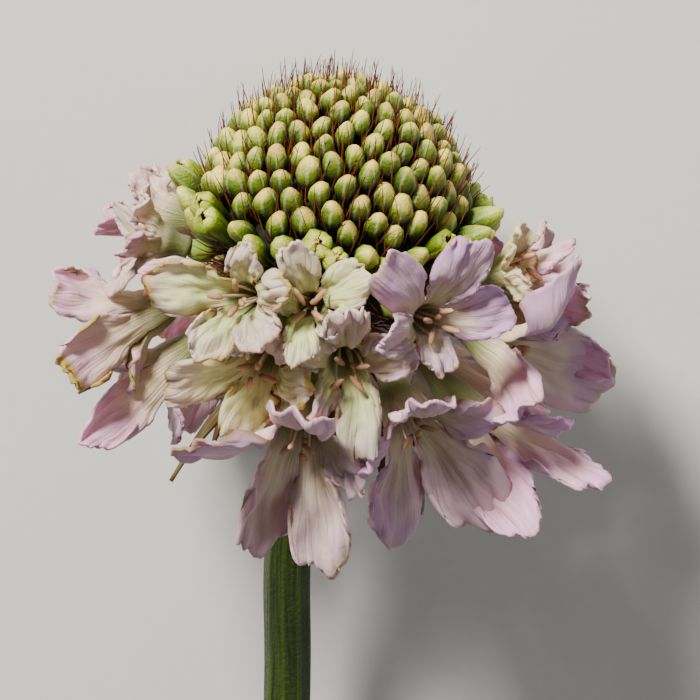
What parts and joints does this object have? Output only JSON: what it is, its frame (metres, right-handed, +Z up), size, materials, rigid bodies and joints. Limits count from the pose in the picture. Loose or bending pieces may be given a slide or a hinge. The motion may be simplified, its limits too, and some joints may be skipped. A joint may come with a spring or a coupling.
{
  "type": "scabiosa flower",
  "caption": "Single cut scabiosa flower: a domed head of closed buds with fine bristles, ringed by frilled lilac florets, on a bare curved stem.",
  "frame": {"origin": "on the surface the flower lies on, under the centre of its bounding box", "axes": "+Y along the flower from the cut end of the stem to the head, +Z up from the surface, +X across the head"},
  "size_m": [0.046, 0.1502, 0.0402],
  "materials": {
    "stem": "matte",
    "bracts": "matte",
    "buds": "matte",
    "petals": "matte"
  },
  "bodies": {
    "root": {"stem": "stem", "involucre": "bracts", "bud_dome": "buds", "floret_upper_01": "petals", "floret_upper_02": "petals", "floret_upper_03": "petals", "floret_upper_04": "petals", "floret_upper_05": "petals", "floret_upper_06": "petals", "floret_upper_07": "petals", "floret_upper_08": "petals", "floret_upper_09": "petals", "floret_upper_10": "petals", "floret_middle_01": "petals", "floret_middle_02": "petals", "floret_middle_03": "petals", "floret_middle_04": "petals", "floret_middle_05": "petals", "floret_middle_06": "petals", "floret_middle_07": "petals", "floret_middle_08": "petals", "floret_lower_01": "petals", "floret_lower_02": "petals", "floret_lower_03": "petals", "floret_lower_04": "petals", "floret_lower_05": "petals", "floret_lower_06": "petals", "floret_lower_07": "petals"}
  },
  "joints": []
}
